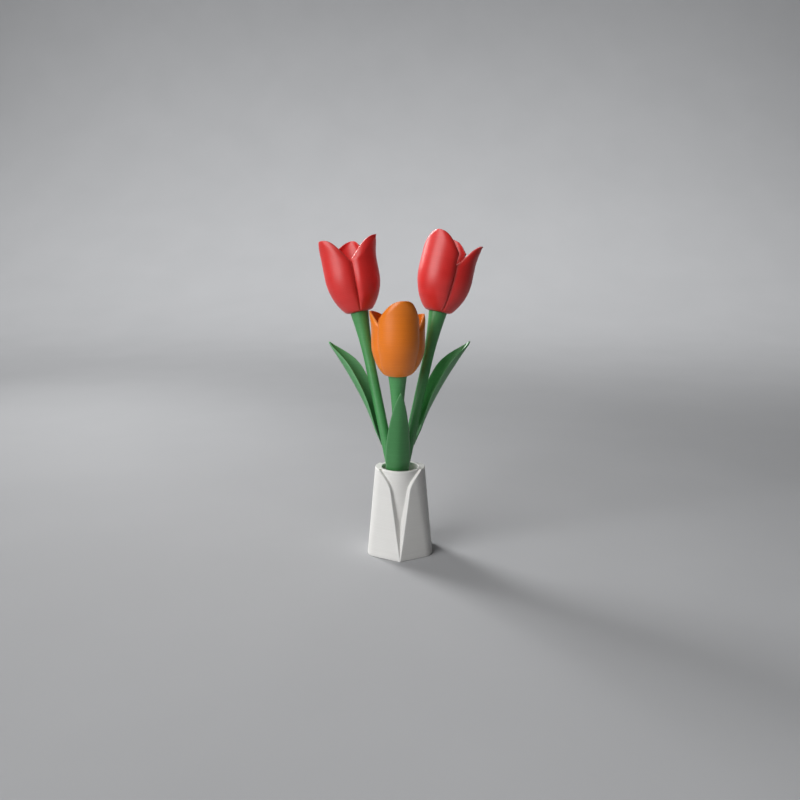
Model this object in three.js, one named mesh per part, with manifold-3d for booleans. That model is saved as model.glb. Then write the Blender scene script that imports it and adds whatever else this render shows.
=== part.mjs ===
// Three artificial tulips in a small folded vase, printed in plastic.
// Millimetres, +Z up, origin at the centre of the vase's underside, front of the set towards -Y.
// Azimuths count from the front, positive towards +X, in degrees.

import * as THREE from 'three';
import { mergeVertices } from 'three/addons/utils/BufferGeometryUtils.js';
import Module from 'manifold-3d';

const wasm = await Module();
wasm.setup();

// Fits shared by mating pieces
const SEAT_GAP = 0.3;
const PEG_CLEARANCE = 0.3;
const PETAL_SEAM = 0.3;
const CLASP_CLEARANCE = 0.35;

// Vase: a round core behind two outer folds, left and right
const VASE_HEIGHT = 53;
const VASE_FLOOR = 3;
const MOUTH_ROOM = 2.2;
const RIM_WALL = 2.2;
const CORE_TAPER = 0.09;
const RIM_EDGE = 0.7;
const FOOT_EDGE = 0.5;
const BASE_SHARP_REACH = 22.8;
const BASE_ROUND_REACH = 21.7;
const BASE_ROUND_RADIUS = 8;
const TOP_SHARP_REACH = 17.5;
const TOP_ROUND_REACH = 15.2;
const TOP_ROUND_RADIUS = 14.4;

// V opening between two folds
const FOLD_SPREAD = 0.138;
const FOLD_WALL_SLOPE = 0.9;
const FOLD_FLARE_HEIGHT = 13;
const FOLD_FLARE = 6.5;
const FOLD_FLARE_POWER = 2.4;
const FOLD_DEPTH_RADIUS = 7;
const FOLD_APEX_HALF_WIDTH = 0.02;
const CUT_MARGIN = 1;

// Plug inside the vase, with one socket for each stem
const HOLDER_CLEARANCE = 0.3;
const HOLDER_DROP = 6.3;
const SOCKET_DEPTH = 18;

// Stems. Their ring of sockets stands BOUQUET_OFFSET along X from the vase's axis.
const STEM_RADIUS = 3.1;
const STEM_SPACING = 1;
const BOUQUET_OFFSET = -1.4;
const STEM_FOOT_SHOULDER = 0.5;
const STEM_FOOT_EDGE = 0.6;
const STEM_BEND_DROP = 2.2;
const STEM_BEND_REACH = 3;
const STEM_TOP_RADIUS = 5.6;
const STEM_FLARE_LENGTH = 34;
const HEAD_PEG_RADIUS = 2.3;
const HEAD_PEG_LENGTH = 6.5;

// Flower heads, with their rise above the rim of the vase
const SIDE_HEAD_RISE = 92.7;
const CENTRE_HEAD_RISE = 57.5;
const RECEPTACLE_RADIUS = 5.3;
const RECEPTACLE_HEIGHT = 10;
const RECEPTACLE_TOP_RADIUS = 4;
const RECEPTACLE_SHOULDER = 8;
const HEAD_BASE_RADIUS = 7.8;
const HEAD_BELLY_RADIUS = 16.4;
const HEAD_WAIST = 0.6;
const PETAL_LENGTH = 45;
const PETAL_FLARE = 4.6;
const PETAL_BELLY_SHARE = 0.52;
const PETAL_SWELL_POWER = 2.3;
const PETAL_LOBE_SHARE = 0.227;
const PETAL_HALF_WIDTH = 13;
const PETAL_TIP_LENGTH = 24;
const PETAL_TIP_HALF_WIDTH = 0.5;
const PETAL_WALL = 2;
const PETAL_TIP_WALL = 1.2;
const PETAL_FOOT_SHARE = 0.1;
const PETAL_LOBE_RISE_SHARE = 0.3;

// Leaves, with the rise of the side ones' feet and of all the tips above the rim of the vase
const SIDE_LEAF_FOOT_RISE = 12;
const SIDE_LEAF_RISE = 74;
const LEFT_LEAF_SPREAD = 23.5;
const RIGHT_LEAF_SPREAD = 24.9;
const SIDE_LEAF_HALF_WIDTH = 6.1;
const SIDE_LEAF_KEEL_ROUND = 3.7;
const CENTRE_LEAF_RISE = 48.5;
const CENTRE_LEAF_SPREAD = 6;
const CENTRE_LEAF_SWAY = 2;
const CENTRE_LEAF_HALF_WIDTH = 7.4;
const CENTRE_LEAF_KEEL_ROUND = 4;
const LEAF_WALL = 1.2;
const LEAF_TIP_HALF_WIDTH = 0.3;
const LEAF_CLASP_ROUND = 4;
const LEAF_CLASP_FOLD = 0.9;
const LEAF_CLASP_SHARE = 0.45;

// Facet counts
const ROUND_SIDES = 24;
const FOLD_ARC_STEPS = 6;
const FOLD_LEVELS = 18;
const FLARE_STEPS = 6;
const STEM_SIDES = 16;
const BEND_STEPS = 4;
const PETAL_ACROSS = 8;
const PETAL_LEVELS = 11;
const LEAF_ACROSS = 6;
const LEAF_LEVELS = 12;

const RED = { colour: '#bd4340', roughness: 0.55 };
const ORANGE = { colour: '#c9701f', roughness: 0.55 };
const GREEN = { colour: '#3f8a4e', roughness: 0.55 };
const WHITE = { colour: '#e6e5e1', roughness: 0.6 };

// A leaf is widest at widestShare of its height. Its width drops by footTaper at the foot and falls to
// nothing at the tip, bluntly where pointPower is low. The centre leaf stands on the holder.
const SIDE_LEAF = {
  footRise: SIDE_LEAF_FOOT_RISE,
  rise: SIDE_LEAF_RISE,
  sway: 0,
  spreadPower: 1.63,
  halfWidth: SIDE_LEAF_HALF_WIDTH,
  widestShare: 0.68,
  footTaper: 0.85,
  pointPower: 0.85,
  foldSlope: 1.94,
  keelRound: SIDE_LEAF_KEEL_ROUND,
};

const CENTRE_LEAF = {
  footRise: SEAT_GAP - HOLDER_DROP,
  rise: CENTRE_LEAF_RISE,
  spread: CENTRE_LEAF_SPREAD,
  sway: CENTRE_LEAF_SWAY,
  spreadPower: 2,
  halfWidth: CENTRE_LEAF_HALF_WIDTH,
  widestShare: 0.2,
  footTaper: 0.3,
  pointPower: 0.7,
  foldSlope: 0.8,
  keelRound: CENTRE_LEAF_KEEL_ROUND,
};

// Outlines of a petal's tip. length is a share of PETAL_TIP_LENGTH; a high round and a low power make it
// blunt.
const ROUND_TIP = { length: 0.82, round: 2, power: 0.48 };
const FLAT_TIP = { length: 1, round: 1.4, power: 0.36 };
const SOFT_TIP = { length: 1, round: 1.5, power: 0.46 };
const BROAD_TIP = { length: 1.25, round: 1.4, power: 0.36 };
const POINTED_TIP = { length: 1.1, round: 1.3, power: 0.52 };

// One entry per tulip. lean is the outward run of the straight stem per unit of height. A petal's length,
// swell and flare are shares of PETAL_LENGTH, HEAD_BELLY_RADIUS and PETAL_FLARE; turn carries its tip round
// the head.
const TULIPS = [
  {
    name: 'left',
    petalFinish: RED,
    azimuth: -120,
    lean: 0.237,
    headRise: SIDE_HEAD_RISE,
    petals: [
      { side: 'left', azimuth: -52, length: 0.985, swell: 1.04, flare: 0.33, tip: BROAD_TIP, turn: 0 },
      { side: 'right', azimuth: 68, length: 0.942, swell: 1.03, flare: 1.05, tip: BROAD_TIP, turn: 0 },
      { side: 'back', azimuth: 188, length: 0.985, swell: 0.97, flare: 0.52, tip: SOFT_TIP, turn: -17 },
    ],
    leaf: { ...SIDE_LEAF, spread: LEFT_LEAF_SPREAD },
  },
  {
    name: 'right',
    petalFinish: RED,
    azimuth: 120,
    lean: 0.2523,
    headRise: SIDE_HEAD_RISE,
    petals: [
      { side: 'front', azimuth: -44, length: 1.03, swell: 1.12, flare: 0.1, tip: ROUND_TIP, turn: 10 },
      { side: 'right', azimuth: 76, length: 0.956, swell: 1, flare: 0.62, tip: POINTED_TIP, turn: 0 },
      { side: 'back', azimuth: 196, length: 1.03, swell: 0.99, flare: 0.43, tip: ROUND_TIP, turn: -17 },
    ],
    leaf: { ...SIDE_LEAF, spread: RIGHT_LEAF_SPREAD },
  },
  {
    name: 'centre',
    petalFinish: ORANGE,
    azimuth: 0,
    lean: 0.0559,
    headRise: CENTRE_HEAD_RISE,
    petals: [
      { side: 'front', azimuth: 4, length: 1.005, swell: 1.03, flare: 0.2, tip: FLAT_TIP, turn: 9 },
      { side: 'left', azimuth: -116, length: 0.825, swell: 0.96, flare: 0.45, tip: ROUND_TIP, turn: 11 },
      { side: 'right', azimuth: 124, length: 0.78, swell: 1.02, flare: 0.2, tip: ROUND_TIP, turn: -11 },
    ],
    leaf: CENTRE_LEAF,
  },
];

const FOLD_COUNT = 2;
const FOLD_ANGLE = (2 * Math.PI) / FOLD_COUNT;
const HEXAGON_ANGLE = Math.PI / 3;
const LOBE_HALF_ANGLE = Math.PI / 3;

const radians = THREE.MathUtils.degToRad;
const lerp = THREE.MathUtils.lerp;
const smoothstep = THREE.MathUtils.smoothstep;

// Sizes that follow from the ones above: STEM_SPACING parts the stems where they leave the holder, and
// the mouth of the vase takes them and the foot of the centre leaf.
const CLOSEST_STEMS = radians(TULIPS[2].azimuth - TULIPS[0].azimuth);
const SOCKET_RING_RADIUS = (STEM_RADIUS + STEM_SPACING / 2) / Math.sin(CLOSEST_STEMS / 2);
const STEM_FOOT_RADIUS = STEM_RADIUS - STEM_FOOT_SHOULDER;
const MOUTH_RADIUS = SOCKET_RING_RADIUS + STEM_RADIUS + CLASP_CLEARANCE + LEAF_WALL + MOUTH_ROOM;
const RIM_RADIUS = MOUTH_RADIUS + RIM_WALL;
const CORE_FOOT_RADIUS = RIM_RADIUS + CORE_TAPER * VASE_HEIGHT;
const HOLDER_TOP = VASE_HEIGHT - HOLDER_DROP;
const STEM_BEND_HEIGHT = VASE_HEIGHT - STEM_BEND_DROP;

// Closed skin over loops of equal point count, each counter-clockwise seen from the loop after it.
// The first and last loop are closed by strips of quads, so both are convex or channel-shaped.
function loft(loops) {
  const size = loops[0].length;
  const index = [];
  const quad = (a, b, c, d) => index.push(a, b, c, a, c, d);
  for (let level = 0; level + 1 < loops.length; level++) {
    for (let i = 0; i < size; i++) {
      const next = (i + 1) % size;
      const low = level * size;
      quad(low + i, low + next, low + size + next, low + size + i);
    }
  }
  const top = (loops.length - 1) * size;
  for (let i = 0; i + 1 < size / 2; i++) {
    quad(i, size - 1 - i, size - 2 - i, i + 1);
    quad(top + i, top + i + 1, top + size - 2 - i, top + size - 1 - i);
  }
  const geometry = new THREE.BufferGeometry().setFromPoints(loops.flat());
  geometry.setIndex(index);
  return geometry;
}

// Solid of revolution about Z. The profile runs from axis to axis, upward on its outer side.
function turned(profile) {
  const points = profile.map(([radius, height]) => new THREE.Vector2(radius, height));
  return new THREE.LatheGeometry(points, ROUND_SIDES).rotateX(Math.PI / 2);
}

function toSolid(geometry) {
  const bare = geometry.clone();
  bare.deleteAttribute('normal');
  bare.deleteAttribute('uv');
  const merged = mergeVertices(bare);
  const corners = merged.index.array;
  const faces = [];
  for (let i = 0; i < corners.length; i += 3) {
    const [a, b, c] = corners.slice(i, i + 3);
    if (a !== b && b !== c && c !== a) faces.push(a, b, c);
  }
  return new wasm.Manifold(new wasm.Mesh({
    numProp: 3,
    vertProperties: new Float32Array(merged.attributes.position.array),
    triVerts: new Uint32Array(faces),
  }));
}

function toGeometry(solid) {
  const mesh = solid.getMesh();
  const geometry = new THREE.BufferGeometry();
  geometry.setAttribute('position', new THREE.BufferAttribute(mesh.vertProperties, 3));
  geometry.setIndex(new THREE.BufferAttribute(mesh.triVerts, 1));
  return geometry;
}

function piece(name, geometry, finish) {
  geometry.computeVertexNormals();
  const material = new THREE.MeshStandardMaterial({
    color: finish.colour,
    roughness: finish.roughness,
    metalness: 0,
  });
  const mesh = new THREE.Mesh(geometry, material);
  mesh.name = name;
  return mesh;
}

// Vase

// Outline of the folds at one height: a hexagon with sharp corners at the front and the back and
// two round corners on each side.
function foldOutline(sharpReach, roundReach, roundRadius, height) {
  const centre = roundReach - roundRadius;
  const cornerX = sharpReach * Math.cos(HEXAGON_ANGLE) - centre;
  const cornerY = sharpReach * Math.sin(HEXAGON_ANGLE);
  const tangent = Math.acos(roundRadius / Math.hypot(cornerX, cornerY));
  const halfArc = Math.atan2(cornerY, cornerX) - tangent;
  const outline = [];
  for (let fold = 0; fold < FOLD_COUNT; fold++) {
    const sharp = fold * FOLD_ANGLE - Math.PI / 2;
    outline.push(new THREE.Vector3(sharpReach * Math.cos(sharp), sharpReach * Math.sin(sharp), height));
    const arcs = [
      [sharp + HEXAGON_ANGLE, -halfArc, HEXAGON_ANGLE / 2],
      [sharp + 2 * HEXAGON_ANGLE, -HEXAGON_ANGLE / 2, halfArc],
    ];
    for (const [corner, from, to] of arcs) {
      for (let i = 0; i <= FOLD_ARC_STEPS; i++) {
        const angle = corner + lerp(from, to, i / FOLD_ARC_STEPS);
        outline.push(new THREE.Vector3(
          centre * Math.cos(corner) + roundRadius * Math.cos(angle),
          centre * Math.sin(corner) + roundRadius * Math.sin(angle),
          height,
        ));
      }
    }
  }
  return outline;
}

// Wedge that opens the front corner: a V in plan that widens upward and sweeps out at the rim.
function foldOpening() {
  const farReach = BASE_SHARP_REACH + FOLD_DEPTH_RADIUS;
  const loops = [];
  for (let level = 0; level <= FOLD_LEVELS; level++) {
    const height = lerp(-CUT_MARGIN, VASE_HEIGHT + CUT_MARGIN, level / FOLD_LEVELS);
    const flare = Math.max(0, 1 - (VASE_HEIGHT - height) / FOLD_FLARE_HEIGHT);
    const halfWidth = FOLD_SPREAD * height + FOLD_FLARE * flare ** FOLD_FLARE_POWER;
    const cornerReach = lerp(BASE_SHARP_REACH, TOP_SHARP_REACH, height / VASE_HEIGHT);
    const faceReach = cornerReach - halfWidth * Math.tan(HEXAGON_ANGLE / 2);
    const innerReach = Math.max(FOLD_DEPTH_RADIUS, faceReach - halfWidth / FOLD_WALL_SLOPE);
    const innerHalf = Math.max(FOLD_APEX_HALF_WIDTH, halfWidth - FOLD_WALL_SLOPE * (faceReach - innerReach));
    const outerHalf = halfWidth + FOLD_WALL_SLOPE * (farReach - faceReach);
    loops.push([
      new THREE.Vector3(-outerHalf, -farReach, height),
      new THREE.Vector3(outerHalf, -farReach, height),
      new THREE.Vector3(innerHalf, -innerReach, height),
      new THREE.Vector3(-innerHalf, -innerReach, height),
    ]);
  }
  return loft(loops);
}

// Cone that fills the vase behind its folds and ends in the rim
function coreProfile() {
  return [
    [0, 0],
    [CORE_FOOT_RADIUS, 0],
    [RIM_RADIUS + CORE_TAPER * RIM_EDGE, VASE_HEIGHT - RIM_EDGE],
    [RIM_RADIUS - RIM_EDGE, VASE_HEIGHT],
    [0, VASE_HEIGHT],
  ];
}

function makeVase() {
  const baseSizes = [BASE_SHARP_REACH, BASE_ROUND_REACH, BASE_ROUND_RADIUS];
  const footSizes = baseSizes.map((size) => size - FOOT_EDGE);
  let solid = toSolid(loft([
    foldOutline(...footSizes, 0),
    foldOutline(...baseSizes, FOOT_EDGE),
    foldOutline(TOP_SHARP_REACH, TOP_ROUND_REACH, TOP_ROUND_RADIUS, VASE_HEIGHT),
  ]));
  for (let fold = 0; fold < FOLD_COUNT; fold++) {
    solid = solid.subtract(toSolid(foldOpening().rotateZ(fold * FOLD_ANGLE)));
  }
  const cavity = turned([
    [0, VASE_FLOOR],
    [MOUTH_RADIUS, VASE_FLOOR],
    [MOUTH_RADIUS, VASE_HEIGHT - RIM_EDGE],
    [MOUTH_RADIUS + 2 * RIM_EDGE, VASE_HEIGHT + RIM_EDGE],
    [0, VASE_HEIGHT + RIM_EDGE],
  ]);
  solid = solid.add(toSolid(turned(coreProfile()))).subtract(toSolid(cavity));
  return piece('vase', toGeometry(solid), WHITE);
}

// Stem holder

function makeHolder() {
  const radius = MOUTH_RADIUS - HOLDER_CLEARANCE;
  const foot = VASE_FLOOR + SEAT_GAP;
  let solid = toSolid(turned([[0, foot], [radius, foot], [radius, HOLDER_TOP], [0, HOLDER_TOP]]));
  const socketRadius = STEM_FOOT_RADIUS + PEG_CLEARANCE;
  const socketFloor = HOLDER_TOP - SOCKET_DEPTH;
  for (const tulip of TULIPS) {
    const socket = turned([
      [0, socketFloor],
      [socketRadius, socketFloor],
      [socketRadius, HOLDER_TOP + CUT_MARGIN],
      [0, HOLDER_TOP + CUT_MARGIN],
    ]);
    socket.translate(0, -SOCKET_RING_RADIUS, 0).rotateZ(radians(tulip.azimuth));
    socket.translate(BOUQUET_OFFSET, 0, 0);
    solid = solid.subtract(toSolid(socket));
  }
  return piece('stem_holder', toGeometry(solid), WHITE);
}

// Stems

// Distance of the stem's axis from the bouquet's: upright in the holder, straight above the bend.
function stemReach(tulip, height) {
  const rise = THREE.MathUtils.clamp(height - STEM_BEND_HEIGHT, -STEM_BEND_REACH, STEM_BEND_REACH);
  const bend = (tulip.lean * (rise + STEM_BEND_REACH) ** 2) / (4 * STEM_BEND_REACH);
  const straight = Math.max(0, height - STEM_BEND_HEIGHT - STEM_BEND_REACH);
  return SOCKET_RING_RADIUS + bend + tulip.lean * straight;
}

function stemSlope(tulip, height) {
  const rise = height - STEM_BEND_HEIGHT + STEM_BEND_REACH;
  return tulip.lean * THREE.MathUtils.clamp(rise / (2 * STEM_BEND_REACH), 0, 1);
}

function stemRing(tulip, height, radius) {
  const angle = Math.atan(stemSlope(tulip, height));
  const centre = new THREE.Vector3(0, -stemReach(tulip, height), height);
  const ring = [];
  for (let i = 0; i < STEM_SIDES; i++) {
    const turn = (i / STEM_SIDES) * 2 * Math.PI;
    const spoke = new THREE.Vector3(radius * Math.cos(turn), radius * Math.sin(turn), 0);
    ring.push(spoke.applyAxisAngle(new THREE.Vector3(1, 0, 0), angle).add(centre));
  }
  return ring;
}

function makeStem(tulip) {
  const rise = Math.cos(Math.atan(tulip.lean));
  const foot = HOLDER_TOP - SOCKET_DEPTH + SEAT_GAP;
  const shoulder = HOLDER_TOP + SEAT_GAP;
  const top = VASE_HEIGHT + tulip.headRise - SEAT_GAP * rise;
  const stations = [
    [foot, STEM_FOOT_RADIUS - STEM_FOOT_EDGE],
    [foot + STEM_FOOT_EDGE, STEM_FOOT_RADIUS],
    [shoulder, STEM_FOOT_RADIUS],
    [shoulder, STEM_RADIUS],
  ];
  for (let i = 0; i <= BEND_STEPS; i++) {
    const offset = lerp(-STEM_BEND_REACH, STEM_BEND_REACH, i / BEND_STEPS);
    stations.push([STEM_BEND_HEIGHT + offset, STEM_RADIUS]);
  }
  for (let i = 0; i <= FLARE_STEPS; i++) {
    const share = i / FLARE_STEPS;
    const height = top - STEM_FLARE_LENGTH * rise * (1 - share);
    stations.push([height, lerp(STEM_RADIUS, STEM_TOP_RADIUS, share ** 2)]);
  }
  stations.push([top, HEAD_PEG_RADIUS], [top + HEAD_PEG_LENGTH * rise, HEAD_PEG_RADIUS]);
  const geometry = loft(stations.map(([height, radius]) => stemRing(tulip, height, radius)));
  return piece(`${tulip.name}_stem`, geometry, GREEN);
}

// Leaves

function leafWidthShare(leaf, share) {
  if (share < leaf.widestShare) {
    return 1 - leaf.footTaper * (1 - share / leaf.widestShare) ** 2;
  }
  const toPoint = (share - leaf.widestShare) / (1 - leaf.widestShare);
  return Math.max(0, Math.cos((Math.PI / 2) * toPoint)) ** leaf.pointPower;
}

// Channel-shaped section: rounded where it clasps the stem, folded to a keel further up.
function leafSection(tulip, share) {
  const { footRise, rise, spread, spreadPower, sway, halfWidth, foldSlope, keelRound } = tulip.leaf;
  const foot = VASE_HEIGHT + footRise;
  const tipHeight = VASE_HEIGHT + rise;
  const height = lerp(foot, tipHeight, share);
  const slope = stemSlope(tulip, height)
    + (spread * spreadPower * share ** (spreadPower - 1)) / (tipHeight - foot);
  const clasp = (STEM_RADIUS + CLASP_CLEARANCE) * Math.hypot(1, tulip.lean);
  const reach = stemReach(tulip, height) + clasp + spread * share ** spreadPower;
  const half = Math.max(LEAF_TIP_HALF_WIDTH, halfWidth * leafWidthShare(tulip.leaf, share));
  const blade = smoothstep(share, 0, LEAF_CLASP_SHARE);
  const round = lerp(LEAF_CLASP_ROUND, keelRound, blade);
  const fold = lerp(LEAF_CLASP_FOLD, foldSlope, blade);
  const outward = new THREE.Vector3(0, -1, -slope).normalize();
  const rows = [[], []];
  for (let i = 0; i <= LEAF_ACROSS; i++) {
    const across = lerp(-half, half, i / LEAF_ACROSS);
    const sag = fold * (Math.hypot(across, round) - round);
    const inner = new THREE.Vector3(sway * share ** 2 + across, -reach, height);
    inner.addScaledVector(outward, -sag);
    rows[0].push(inner.clone().addScaledVector(outward, LEAF_WALL));
    rows[1].unshift(inner);
  }
  return rows.flat();
}

function makeLeaf(tulip) {
  const loops = [];
  for (let level = 0; level <= LEAF_LEVELS; level++) {
    loops.push(leafSection(tulip, level / LEAF_LEVELS));
  }
  return piece(`${tulip.name}_leaf`, loft(loops), GREEN);
}

// Flower heads

function makeReceptacle(tulip) {
  const socketRadius = HEAD_PEG_RADIUS + PEG_CLEARANCE;
  const socketRoof = HEAD_PEG_LENGTH;
  const geometry = turned([
    [0, socketRoof],
    [socketRadius, socketRoof],
    [socketRadius, 0],
    [RECEPTACLE_RADIUS, 0],
    [RECEPTACLE_RADIUS, RECEPTACLE_SHOULDER],
    [RECEPTACLE_TOP_RADIUS, RECEPTACLE_HEIGHT],
    [0, RECEPTACLE_HEIGHT],
  ]);
  return piece(`${tulip.name}_receptacle`, geometry, tulip.petalFinish);
}

// Reach of the petal's middle line from the head's axis: a round belly, a slight waist, a flared tip.
function petalReach(petal, share) {
  const belly = HEAD_BELLY_RADIUS * petal.swell;
  if (share < PETAL_BELLY_SHARE) {
    const rise = 1 - (1 - share / PETAL_BELLY_SHARE) ** PETAL_SWELL_POWER;
    return lerp(HEAD_BASE_RADIUS, belly, rise);
  }
  const upper = (share - PETAL_BELLY_SHARE) / (1 - PETAL_BELLY_SHARE);
  const flare = PETAL_FLARE * petal.flare * upper ** 3;
  return belly - HEAD_WAIST * smoothstep(upper, 0, 1) + flare;
}

// Angle from the lobe's middle to its edge, seen from the lobe's own centre.
function lobeHalfAngle(radius, centre, halfWidth) {
  const seam = centre * Math.sin(LOBE_HALF_ANGLE) - PETAL_SEAM / 2;
  const toSeam = LOBE_HALF_ANGLE + Math.asin(seam / radius);
  return Math.min(toSeam, Math.asin(Math.min(1, halfWidth / radius)));
}

function petalSection(petal, share) {
  const length = PETAL_LENGTH * petal.length;
  const height = length * share;
  const reach = petalReach(petal, share);
  const centre = reach * PETAL_LOBE_SHARE * smoothstep(share, 0, PETAL_LOBE_RISE_SHARE);
  const footWall = HEAD_BASE_RADIUS - RECEPTACLE_RADIUS - SEAT_GAP;
  const wall = share < PETAL_FOOT_SHARE
    ? lerp(footWall, PETAL_WALL, share / PETAL_FOOT_SHARE)
    : lerp(PETAL_WALL, PETAL_TIP_WALL, (share - PETAL_FOOT_SHARE) / (1 - PETAL_FOOT_SHARE));
  const { tip } = petal;
  const rise = Math.max(0, 1 - (length - height) / (PETAL_TIP_LENGTH * tip.length));
  const tipShare = (1 - rise ** tip.round) ** tip.power;
  const halfWidth = Math.max(PETAL_TIP_HALF_WIDTH, PETAL_HALF_WIDTH * tipShare);
  const upper = Math.max(0, (share - PETAL_BELLY_SHARE) / (1 - PETAL_BELLY_SHARE));
  const turn = radians(petal.turn) * upper ** 2;
  const axis = new THREE.Vector3(0, 0, 1);
  const rows = [[], []];
  for (const [row, radius] of [[0, reach - centre], [1, reach - centre - wall]]) {
    const halfAngle = lobeHalfAngle(radius, centre, halfWidth);
    for (let i = 0; i <= PETAL_ACROSS; i++) {
      const angle = lerp(-halfAngle, halfAngle, i / PETAL_ACROSS);
      const point = new THREE.Vector3(radius * Math.sin(angle), -centre - radius * Math.cos(angle), height);
      rows[row].push(point.applyAxisAngle(axis, turn));
    }
  }
  return [...rows[0], ...rows[1].reverse()];
}

function makePetal(tulip, petal) {
  const loops = [];
  for (let level = 0; level <= PETAL_LEVELS; level++) {
    loops.push(petalSection(petal, 0.5 - 0.5 * Math.cos((Math.PI * level) / PETAL_LEVELS)));
  }
  const mesh = piece(`${tulip.name}_petal_${petal.side}`, loft(loops), tulip.petalFinish);
  mesh.rotation.z = radians(petal.azimuth);
  return mesh;
}

// The head sits square on the end of its stem.
function makeHead(tulip) {
  const up = new THREE.Vector3(0, 0, 1);
  const outward = new THREE.Vector3(0, -1, 0).applyAxisAngle(up, radians(tulip.azimuth));
  const axis = up.clone().addScaledVector(outward, tulip.lean).normalize();
  const head = new THREE.Group();
  const height = VASE_HEIGHT + tulip.headRise;
  head.position.copy(outward).multiplyScalar(stemReach(tulip, height)).setZ(height);
  head.position.x += BOUQUET_OFFSET;
  head.quaternion.setFromUnitVectors(up, axis);
  head.add(makeReceptacle(tulip));
  for (const petal of tulip.petals) head.add(makePetal(tulip, petal));
  return head;
}

const bouquet = new THREE.Group();
bouquet.add(makeVase(), makeHolder());
for (const tulip of TULIPS) {
  const plant = new THREE.Group();
  plant.rotation.z = radians(tulip.azimuth);
  plant.position.x = BOUQUET_OFFSET;
  plant.add(makeStem(tulip), makeLeaf(tulip));
  bouquet.add(plant, makeHead(tulip));
}

export default bouquet;
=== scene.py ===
"""Looks of a set of three printed tulips in a small folded vase.

The classes hold their sizes in millimetres, as on a drawing, and make their meshes in metres.
The front of the set faces -Y. Azimuths count from the front, positive towards +X, in degrees.
"""

from __future__ import annotations

import logging
import math
from dataclasses import dataclass
from enum import Enum
from typing import Mapping, Sequence, Union

import bmesh
import bpy
import numpy as np
from mathutils import Matrix, Vector


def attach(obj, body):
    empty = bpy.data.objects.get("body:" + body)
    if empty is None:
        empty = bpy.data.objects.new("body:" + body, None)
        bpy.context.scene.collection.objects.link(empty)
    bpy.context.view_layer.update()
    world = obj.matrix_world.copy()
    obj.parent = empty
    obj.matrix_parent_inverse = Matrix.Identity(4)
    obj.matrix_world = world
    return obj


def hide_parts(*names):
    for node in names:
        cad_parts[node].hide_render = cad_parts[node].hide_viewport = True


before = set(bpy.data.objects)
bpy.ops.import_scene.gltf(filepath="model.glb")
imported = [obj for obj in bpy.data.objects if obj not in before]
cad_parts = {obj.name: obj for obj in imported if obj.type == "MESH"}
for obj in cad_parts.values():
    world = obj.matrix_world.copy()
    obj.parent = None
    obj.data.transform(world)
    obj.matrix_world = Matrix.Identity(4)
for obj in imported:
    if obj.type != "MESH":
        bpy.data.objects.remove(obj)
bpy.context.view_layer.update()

log = logging.getLogger("tulips")

MM = 0.001
TAU = 2 * math.pi
QUARTER_TURN = math.pi / 2
SIXTH_TURN = math.pi / 3
EDGE_MARK = "edge"
WIDTH_MARK = "width"
FINISH_INPUT = "Finish"
SHARP_ANGLE = math.radians(40)
MERGE_DISTANCE = 1e-6

Colour = tuple[int, int, int]
Triple = tuple[float, float, float]
Operand = Union["Term", float]


def linear(red: int, green: int, blue: int) -> tuple[float, float, float, float]:
    """Turns a colour as seen on a screen, 0 to 255, into the linear colour that a shader takes.

    Args:
        red: Red, 0 to 255.
        green: Green, 0 to 255.
        blue: Blue, 0 to 255.

    Returns:
        Linear red, green and blue, and full opacity.
    """
    def channel(value: int) -> float:
        """Undoes the screen's curve for one channel."""
        part = value / 255
        return part / 12.92 if part <= 0.04045 else ((part + 0.055) / 1.055) ** 2.4

    return channel(red), channel(green), channel(blue), 1.0


def outward(azimuth: float) -> Vector:
    """Level direction at an azimuth in degrees."""
    angle = math.radians(azimuth)
    return Vector((math.sin(angle), -math.cos(angle), 0))


class Slot(Enum):
    """Material slots of the record."""

    WHITE = "white_plastic"
    GREEN = "green_plastic"
    RED = "red_plastic"
    ORANGE = "orange_plastic"


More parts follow.
